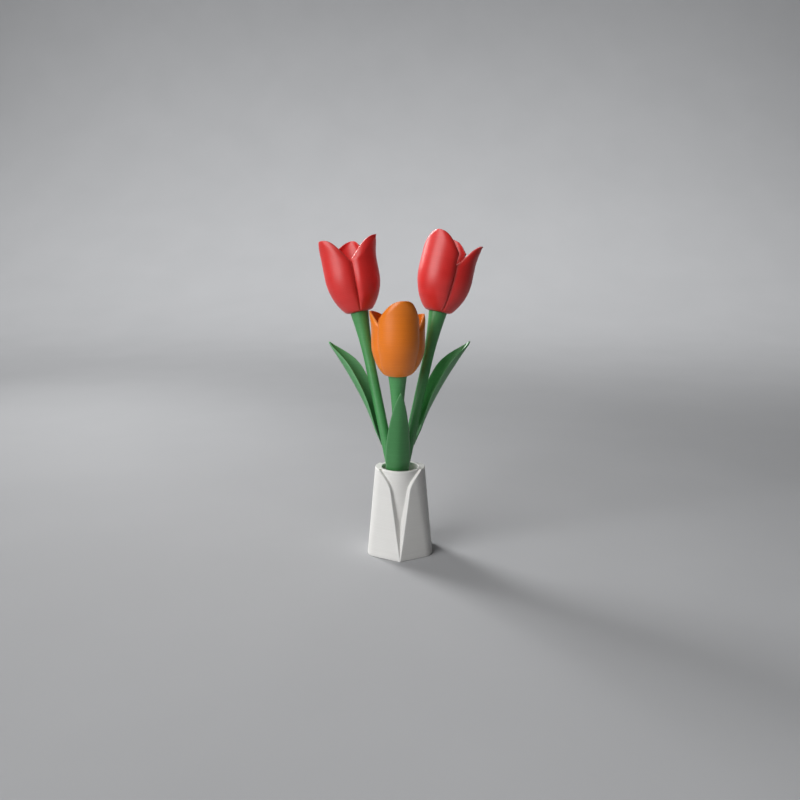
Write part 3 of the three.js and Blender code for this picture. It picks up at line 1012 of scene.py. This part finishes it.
@dataclass
class Leaf:
    """Pointed leaf: a clasp round the stem's foot, a folded blade and a fine tip."""

    line: StemLine
    foot: float
    tip: float
    spread: float
    spread_power: float
    sway: float
    half_width: float
    widest_share: float
    foot_taper: float
    point_power: float
    fold: float
    keel_round: float
    stem_radius: float = 3.1
    clasp_gap: float = 0.35
    wall: float = 1.2

    CLASP_FOLD = 0.9
    CLASP_ROUND = 4.0
    CLASP_SHARE = 0.45
    FOOT_WALL_SHARE = 0.12
    FOOT_RUN_SHARE = 0.18
    EDGE_REACH = 1.4
    AROUND = 48
    LEVELS = 72
    SIZES = (
        "Foot Height", "Tip Height", "Clasp Reach", "Spread", "Spread Power", "Sway", "Half Width",
        "Widest Share", "Foot Taper", "Point Power", "Fold", "Keel Round", "Wall",
    )

    @classmethod
    def tree(cls) -> SkinTree:
        """Builds the tree that wraps a leaf.

        Returns:
            The tree.
        """
        tree = SkinTree("leaf", StemLine.SIZES + cls.SIZES)
        (foot, tip, clasp, spread, spread_power, sway, half_width, widest, foot_taper, point_power,
         fold, keel, wall) = (tree.given(name) for name in cls.SIZES)
        grid, angle, side, share = tree.blanket(cls.AROUND, cls.LEVELS)
        height = foot + (tip - foot) * share
        stem, lean = StemLine.trace(tree, height)
        slope = lean + spread_power * spread * share ** (spread_power - 1.0) / (tip - foot)
        reach = stem + clasp + spread * share ** spread_power
        lower, upper = share.split(widest)
        pointed = (upper * QUARTER_TURN).cosine().at_least(0.0) ** point_power
        half = half_width * (1.0 - foot_taper * (1.0 - lower) ** 2.0) * pointed
        blade = (share / cls.CLASP_SHARE).eased()
        round_keel = cls.CLASP_ROUND + (keel - cls.CLASP_ROUND) * blade
        folded = cls.CLASP_FOLD + (fold - cls.CLASP_FOLD) * blade
        thicker = (share / cls.FOOT_RUN_SHARE).eased()
        wall = wall * (cls.FOOT_WALL_SHARE + (1.0 - cls.FOOT_WALL_SHARE) * thicker)
        across = angle.cosine()
        aside = half * across
        sag = folded * ((aside * aside + round_keel * round_keel).root() - round_keel)
        from_edge = (1.0 - across.size()) * half
        lift = wall * 0.5 - sag + half_wall(wall, from_edge) * side
        lift = lift / (1.0 + slope * slope).root()
        spot = tree.spot(
            sway * share * share + aside, 0.0 - reach - lift, height - slope * lift
        )
        tree.wrap(grid, spot, from_edge / cls.EDGE_REACH)
        return tree

    def build(self, name: str, tree: SkinTree, finish: bpy.types.Material) -> bpy.types.Object:
        """Builds the leaf.

        Args:
            name: Name of the piece.
            tree: The leaves' tree.
            finish: Material of the leaf.

        Returns:
            The leaf.
        """
        clasp = (self.stem_radius + self.clasp_gap) * math.hypot(1, self.line.lean)
        sizes = self.line.sizes() | {
            "Foot Height": self.foot, "Tip Height": self.tip, "Clasp Reach": clasp,
            "Spread": self.spread, "Spread Power": self.spread_power, "Sway": self.sway,
            "Half Width": self.half_width, "Widest Share": self.widest_share,
            "Foot Taper": self.foot_taper, "Point Power": self.point_power,
            "Fold": self.fold, "Keel Round": self.keel_round, "Wall": self.wall,
        }
        return settle(name, tree.cast(name, sizes, finish), self.line.place())


class Tip(Enum):
    """Outlines of a petal's tip: its length and two powers.

    A higher first power or a lower second one makes the tip blunter.
    """

    ROUND = (19.68, 2.0, 0.48)
    FLAT = (24.0, 1.4, 0.36)
    SOFT = (24.0, 1.5, 0.46)
    BROAD = (30.0, 1.4, 0.36)
    POINTED = (26.4, 1.3, 0.52)


class Roll(Enum):
    """Ways in which a petal's edges roll inward: how steeply, and how suddenly they start."""

    SOFT = (0.26, 2.0)
    CRISP = (0.45, 1.25)


@dataclass
class Petal:
    """One petal of a head: a rounded lobe with rolled edges and a shaped tip."""

    side: str
    azimuth: float
    length: float
    swell: float
    flare: float
    tip: Tip
    tip_turn: float = 0.0
    roll: Roll = Roll.SOFT

    LENGTH = 45.0
    FLARE = 4.6
    BASE_REACH = 7.8
    BELLY_REACH = 16.4
    WAIST = 0.6
    HALF_WIDTH = 13.0
    FOOT_WALL = 2.2
    WALL = 2.0
    TIP_WALL = 1.2
    SEAM = 0.12
    FOOT_ROUND = 1.2
    ROLL_FOOT_WIDTH = 2.2
    ROLL_TOP_WIDTH = 5.2
    BELLY_SHARE = 0.52
    SWELL_POWER = 2.3
    LOBE_SHARE = 0.227
    LOBE_RISE_SHARE = 0.3
    FOOT_SHARE = 0.1
    ROLL_RISE_SHARE = 0.25
    ROLL_FULL_HALF_WIDTH = 6.0
    EDGE_REACH = 1.8
    AROUND = 96
    LEVELS = 90
    SIZES = (
        "Length", "Base Reach", "Belly Reach", "Waist", "Flare", "Half Width", "Tip Length",
        "Tip Round", "Tip Power", "Tip Turn", "Foot Wall", "Wall", "Tip Wall", "Seam",
        "Foot Round", "Roll Slope", "Roll Foot Width", "Roll Top Width", "Roll Power",
    )

    @classmethod
    def tree(cls) -> SkinTree:
        """Builds the tree that wraps a petal round the axis of its head.

        Returns:
            The tree.
        """
        tree = SkinTree("petal", cls.SIZES)
        (length, base, belly, waist, flare, half_width, tip_length, tip_round, tip_power, tip_turn,
         foot_wall, wall, tip_wall, seam, foot_round, roll_slope, roll_foot, roll_top, roll_power,
         ) = (tree.given(name) for name in cls.SIZES)
        grid, angle, side, climb = tree.blanket(cls.AROUND, cls.LEVELS)
        share = (1.0 - (climb * math.pi).cosine()) * 0.5
        lower, upper = share.split(cls.BELLY_SHARE)
        swell = 1.0 - (1.0 - lower) ** cls.SWELL_POWER
        reach = base + (belly - base) * swell - waist * upper.eased()
        reach = reach + flare * upper * upper * upper
        centre = reach * cls.LOBE_SHARE * (share / cls.LOBE_RISE_SHARE).eased()
        radius = reach - centre
        in_foot, above_foot = share.split(cls.FOOT_SHARE)
        thick = foot_wall - (foot_wall - wall) * in_foot - (wall - tip_wall) * above_foot
        below = 1.0 - (share * length / foot_round).at_most(1.0)
        rounded = foot_round * (1.0 - (1.0 - below * below).root())
        radius, thick = radius - rounded, thick - rounded
        near_tip = (1.0 - (1.0 - share) * length / tip_length).at_least(0.0)
        half = half_width * (1.0 - near_tip ** tip_round).at_least(0.0) ** tip_power
        roll_width = roll_foot + (roll_top - roll_foot) * share
        roll = roll_slope * roll_width * (share / cls.ROLL_RISE_SHARE).eased()
        roll = roll * (half / cls.ROLL_FULL_HALF_WIDTH).at_most(1.0)
        edge_radius = radius - roll - thick * 0.5
        beside_seam = (centre * math.sin(SIXTH_TURN) - seam * 0.5) / edge_radius
        to_seam = SIXTH_TURN + beside_seam.arcsine()
        half_angle = to_seam.at_most((half / edge_radius).at_most(1.0).arcsine())
        across = angle.cosine()
        from_edge = (1.0 - across.size()) * half_angle * edge_radius
        into_roll = (1.0 - from_edge / roll_width).at_least(0.0)
        spoke = radius - thick * 0.5 - roll * into_roll ** roll_power
        spoke = spoke + half_wall(thick, from_edge) * side
        aside = half_angle * across
        x, y = spoke * aside.sine(), 0.0 - centre - spoke * aside.cosine()
        lean = tip_turn * upper * upper
        cosine, sine = lean.cosine(), lean.sine()
        spot = tree.spot(x * cosine - y * sine, x * sine + y * cosine, share * length)
        tree.wrap(grid, spot, from_edge / cls.EDGE_REACH)
        return tree

    def build(
        self, name: str, tree: SkinTree, place: Matrix, finish: bpy.types.Material
    ) -> bpy.types.Object:
        """Builds the petal.

        Args:
            name: Name of the piece.
            tree: The petals' tree.
            place: Place of the head.
            finish: Material of the petal.

        Returns:
            The petal.
        """
        tip_length, tip_round, tip_power = self.tip.value
        roll_slope, roll_power = self.roll.value
        sizes = {
            "Length": self.LENGTH * self.length, "Base Reach": self.BASE_REACH,
            "Belly Reach": self.BELLY_REACH * self.swell, "Waist": self.WAIST,
            "Flare": self.FLARE * self.flare, "Half Width": self.HALF_WIDTH,
            "Tip Length": tip_length, "Tip Round": tip_round, "Tip Power": tip_power,
            "Tip Turn": math.radians(self.tip_turn), "Foot Wall": self.FOOT_WALL,
            "Wall": self.WALL, "Tip Wall": self.TIP_WALL, "Seam": self.SEAM,
            "Foot Round": self.FOOT_ROUND, "Roll Slope": roll_slope,
            "Roll Foot Width": self.ROLL_FOOT_WIDTH, "Roll Top Width": self.ROLL_TOP_WIDTH,
            "Roll Power": roll_power,
        }
        turned = place @ Matrix.Rotation(math.radians(self.azimuth), 4, "Z")
        return settle(name, tree.cast(name, sizes, finish), turned)


@dataclass
class Receptacle:
    """Core of a head: it holds the feet of the petals and turns on the stem's peg."""

    radius: float = 5.3
    socket_radius: float = 2.6
    socket_depth: float = 6.5
    height: float = 10.0
    dome: float = 2.6
    edge: float = 0.3
    sides: int = 48

    # Places of the rings in the socket's roof, on its wall and on the core's side.
    ROOF_SHARES = (0.5, 0.97, 1.0)
    WALL_SHARE = 0.95
    WALL_FOOT = 0.4
    SIDE_HEIGHT = 3.0
    DOME_RINGS = 10

    def profile(self) -> list[tuple[float, float]]:
        """Outline from the socket's roof, round the foot and up over the dome.

        Returns:
            The outline's points, as radius and height.
        """
        wall = (self.socket_depth * self.WALL_SHARE, self.WALL_FOOT, self.edge)
        points = [(self.socket_radius * share, self.socket_depth) for share in self.ROOF_SHARES]
        points += [(self.socket_radius, height) for height in wall]
        points += [(self.socket_radius + self.edge, 0.0), (self.radius - self.edge, 0.0)]
        points += [(self.radius, self.edge), (self.radius, self.SIDE_HEIGHT)]
        for angle in np.linspace(0, QUARTER_TURN, self.DOME_RINGS)[:-1]:
            height = self.height - self.dome * (1 - math.sin(angle))
            points.append((self.radius * math.cos(angle), height))
        return points

    def build(self, name: str, place: Matrix, finish: bpy.types.Material) -> bpy.types.Object:
        """Builds the core.

        Args:
            name: Name of the piece.
            place: Place of the head.
            finish: Material of the head.

        Returns:
            The core.
        """
        turns = np.arange(self.sides) * TAU / self.sides
        level = np.ones(self.sides)
        rings = np.array([
            np.column_stack([radius * np.cos(turns), radius * np.sin(turns), height * level])
            for radius, height in self.profile()
        ])
        mesh = ring_skin(name, rings, np.zeros(rings.shape[:2]), finish)
        return settle(name, mesh, place)


@dataclass
class Trees:
    """The trees that the three tulips share."""

    stem: SkinTree
    leaf: SkinTree
    petal: SkinTree

    @classmethod
    def grow(cls) -> Trees:
        """Builds the trees."""
        return cls(Stem.tree(), Leaf.tree(), Petal.tree())


@dataclass
class Tulip:
    """One flower: a stem with its leaf, and a head of three petals round a core."""

    name: str
    line: StemLine
    leaf: Leaf
    petals: Sequence[Petal]
    green: PrintedPlastic
    blade: PrintedPlastic
    bloom: PrintedPlastic

    def dress(self, trees: Trees) -> None:
        """Builds the flower's pieces in their finishes and puts them in place of the solids.

        Args:
            trees: The trees that the tulips share.
        """
        green, bloom = self.green.material(), self.bloom.material()
        flower, head = f"{self.name}_flower", f"{self.name}_head"
        stem = Stem(self.line).build(f"{self.name}_round_stem", trees.stem, green)
        stand_for(stem, f"{self.name}_stem", flower)
        leaf = self.leaf.build(f"{self.name}_folded_leaf", trees.leaf, self.blade.material())
        stand_for(leaf, f"{self.name}_leaf", flower)
        place = self.line.head_place()
        core = Receptacle().build(f"{self.name}_core", place, bloom)
        stand_for(core, f"{self.name}_receptacle", head)
        for petal in self.petals:
            lobe = petal.build(f"{self.name}_{petal.side}_petal", trees.petal, place, bloom)
            stand_for(lobe, f"{self.name}_petal_{petal.side}", head)


@dataclass(frozen=True)
class SoftLamp:
    """A soft rectangular studio lamp, hung round a point that it shines at, in metres."""

    name: str
    aim: Triple
    azimuth: float
    elevation: float
    distance: float
    width: float
    height: float
    watts: float
    spread: float = 180.0

    def hang(self) -> None:
        """Hangs the lamp."""
        lamp = bpy.data.lights.new(self.name, "AREA")
        lamp.shape = "RECTANGLE"
        lamp.size, lamp.size_y, lamp.energy = self.width, self.height, self.watts
        lamp.spread = math.radians(self.spread)
        rise = math.radians(self.elevation)
        back = outward(self.azimuth) * math.cos(rise) + Vector((0, 0, math.sin(rise)))
        holder = add_object(self.name, lamp)
        holder.location = Vector(self.aim) + back * self.distance
        holder.rotation_euler = (-back).to_track_quat("-Z", "Y").to_euler()


@dataclass
class Studio:
    """Pale floor that sweeps up behind the set, soft lamps and a camera. Its room is in metres.

    The camera's distance and the height that it aims at are in millimetres, as the set is.
    """

    floor_width: float = 7.0
    floor_front: float = 1.6
    floor_back: float = 1.0
    sweep_radius: float = 0.9
    sweep_height: float = 2.6
    sweep_steps: int = 32
    floor_colour: Colour = (178, 179, 181)
    floor_shade: float = 0.965
    floor_roughness: float = 0.85
    mottle_scale: float = 9.0
    mottle_detail: float = 4.0
    sky_colour: Colour = (226, 228, 232)
    sky_light: float = 0.03
    camera_distance: float = 480.0
    camera_pitch: float = 11.0
    camera_near: float = 0.01
    aim_height: float = 94.0
    lens: float = 36.0
    sensor: float = 36.0

    LAMPS = (
        SoftLamp(
            "key_lamp", aim=(0.0, 0.0, 0.12), azimuth=-46.0, elevation=24.0, distance=1.6,
            width=1.25, height=1.4, watts=22.0,
        ),
        SoftLamp(
            "top_lamp", aim=(0.0, 0.0, 0.12), azimuth=-40.0, elevation=64.0, distance=1.5,
            width=1.0, height=0.8, watts=3.0,
        ),
        SoftLamp(
            "rim_lamp", aim=(0.0, 0.0, 0.14), azimuth=-138.0, elevation=30.0, distance=1.2,
            width=0.36, height=0.8, watts=1.2, spread=45.0,
        ),
        SoftLamp(
            "backdrop_lamp", aim=(0.0, 1.4, 0.1), azimuth=0.0, elevation=66.0, distance=2.0,
            width=3.0, height=0.6, watts=15.0, spread=85.0,
        ),
    )

    def floor_material(self) -> bpy.types.Material:
        """Builds the floor's matt, faintly mottled finish.

        Returns:
            The material.
        """
        material = bpy.data.materials.new("pale_floor")
        tree = bare_tree(material)
        spot = tree.node("ShaderNodeTexCoord").outputs["Object"]
        shade = linear(*(int(value * self.floor_shade) for value in self.floor_colour))
        mottle = tree.noise(spot, self.mottle_scale, self.mottle_detail)
        shader = tree.node("ShaderNodeBsdfPrincipled", None, {
            "Base Color": tree.mix(mottle, shade, linear(*self.floor_colour)),
            "Roughness": self.floor_roughness,
        })
        tree.node("ShaderNodeOutputMaterial", None, {"Surface": shader.outputs[0]})
        return material

    def lay_floor(self) -> None:
        """Lays the floor under the vase and sweeps it up behind."""
        half = self.floor_width / 2
        line = [(-self.floor_front, 0.0)]
        for step in range(self.sweep_steps + 1):
            angle = QUARTER_TURN * step / self.sweep_steps
            line.append((
                self.floor_back + self.sweep_radius * math.sin(angle),
                self.sweep_radius * (1 - math.cos(angle)),
            ))
        line.append((self.floor_back + self.sweep_radius, self.sweep_height))
        points = [(side, y, z) for y, z in line for side in (-half, half)]
        faces = [(2 * k, 2 * k + 1, 2 * k + 3, 2 * k + 2) for k in range(len(line) - 1)]
        mesh = bpy.data.meshes.new("floor")
        mesh.from_pydata(points, [], faces)
        mesh.shade_smooth()
        mesh.materials.append(self.floor_material())
        floor = add_object("floor", mesh)

    def light_sky(self) -> None:
        """Sets a dim, even sky."""
        world = bpy.data.worlds.new("studio_sky")
        bpy.context.scene.world = world
        tree = bare_tree(world)
        sky = tree.node("ShaderNodeBackground", None, {
            "Color": linear(*self.sky_colour), "Strength": self.sky_light,
        })
        tree.node("ShaderNodeOutputWorld", None, {"Surface": sky.outputs[0]})

    def set_camera(self) -> None:
        """Sets the camera in front of the set, looking down a little."""
        camera = bpy.data.cameras.new("viewer")
        camera.lens, camera.sensor_width = self.lens, self.sensor
        camera.clip_start = self.camera_near
        viewer = add_object("viewer", camera)
        pitch = math.radians(self.camera_pitch)
        viewer.location = Vector((
            0.0,
            -self.camera_distance * math.cos(pitch),
            self.aim_height + self.camera_distance * math.sin(pitch),
        )) * MM
        viewer.rotation_euler = (QUARTER_TURN - pitch, 0.0, 0.0)
        bpy.context.scene.camera = viewer

    def set_up(self) -> None:
        """Sets up the floor, the light and the camera."""
        bpy.context.scene.view_settings.view_transform = "Standard"
        self.lay_floor()
        self.light_sky()
        for lamp in self.LAMPS:
            lamp.hang()
        self.set_camera()


def head_tilt(line: StemLine) -> Triple:
    """Turn that sets a head's axis upright, so that its layer lines run square to it."""
    return tuple(line.head_place().to_3x3().inverted().to_euler())


def bouquet() -> list[Tulip]:
    """The three tulips with their lines, leaves, petals and finishes.

    Returns:
        The tulips.
    """
    left = StemLine(azimuth=-120, lean=0.237, top=145.7)
    right = StemLine(azimuth=120, lean=0.2523, top=145.7)
    centre = StemLine(azimuth=0, lean=0.0559, top=110.5)
    green = PrintedPlastic(
        "green_plastic", Slot.GREEN,
        body=(84, 164, 96), deep=(66, 140, 76), pale_edge=(130, 186, 136),
    )
    # A darker copy of the green plastic for the front leaf: painted shade on a leaf of the same
    # green as the other green pieces.
    shaded_green = PrintedPlastic(
        "deep_green_plastic", Slot.GREEN,
        body=(66, 138, 77), deep=(51, 117, 60), pale_edge=(114, 170, 120),
    )
    orange = PrintedPlastic(
        "orange_plastic", Slot.ORANGE,
        body=(252, 138, 15), deep=(236, 117, 8), pale_edge=(247, 172, 86), tilt=head_tilt(centre),
    )

    def red(name: str, line: StemLine) -> PrintedPlastic:
        """Red plastic, with its layers square to a head's axis."""
        colours = {"body": (233, 54, 51), "deep": (216, 40, 37), "pale_edge": (237, 106, 99)}
        return PrintedPlastic(name, Slot.RED, **colours, tilt=head_tilt(line))

    side_leaf = {
        "foot": 65.0, "tip": 127.0, "spread_power": 1.63, "sway": 0.0, "half_width": 6.1,
        "widest_share": 0.68, "foot_taper": 0.85, "point_power": 0.85, "fold": 1.94,
        "keel_round": 3.7,
    }
    front_leaf = {
        "foot": 47.0, "tip": 101.5, "spread_power": 2.0, "sway": 2.0, "half_width": 7.4,
        "widest_share": 0.2, "foot_taper": 0.3, "point_power": 0.7, "fold": 0.8,
        "keel_round": 4.0,
    }
    left_petals = (
        Petal("left", -52, length=0.985, swell=1.04, flare=0.33, tip=Tip.BROAD),
        Petal("right", 68, length=0.942, swell=1.03, flare=1.05, tip=Tip.BROAD, roll=Roll.CRISP),
        Petal("back", 188, length=0.985, swell=0.97, flare=0.52, tip=Tip.SOFT, tip_turn=-17),
    )
    right_petals = (
        Petal("front", -44, length=1.03, swell=1.12, flare=0.1, tip=Tip.ROUND, tip_turn=10),
        Petal("right", 76, length=0.956, swell=1.0, flare=0.62, tip=Tip.POINTED),
        Petal("back", 196, length=1.03, swell=0.99, flare=0.43, tip=Tip.ROUND, tip_turn=-17),
    )
    centre_petals = (
        Petal("front", 4, length=1.005, swell=1.03, flare=0.2, tip=Tip.FLAT, tip_turn=9),
        Petal("left", -116, length=0.825, swell=0.96, flare=0.45, tip=Tip.ROUND, tip_turn=11),
        Petal("right", 124, length=0.78, swell=1.02, flare=0.2, tip=Tip.ROUND, tip_turn=-11),
    )
    left_leaf = Leaf(left, spread=23.5, **side_leaf)
    right_leaf = Leaf(right, spread=24.9, **side_leaf)
    centre_leaf = Leaf(centre, spread=6.0, **front_leaf)
    left_red, right_red = red("left_red_plastic", left), red("right_red_plastic", right)
    return [
        Tulip("left", left, left_leaf, left_petals, green, green, left_red),
        Tulip("right", right, right_leaf, right_petals, green, green, right_red),
        Tulip("centre", centre, centre_leaf, centre_petals, green, shaded_green, orange),
    ]


def main() -> None:
    """Builds the set piece by piece, lights it and logs each piece's face count."""
    logging.basicConfig(level=logging.INFO, format="%(name)s: %(message)s")
    Studio().set_up()
    white = PrintedPlastic(
        "white_plastic", Slot.WHITE,
        body=(232, 231, 228), deep=(221, 220, 216), pale_edge=(240, 240, 238),
        roughness=0.5, line_strength=0.07,
    )
    FoldedVase().dress(white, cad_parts["stem_holder"])
    trees = Trees.grow()
    for tulip in bouquet():
        tulip.dress(trees)


if __name__ == "__main__":
    main()
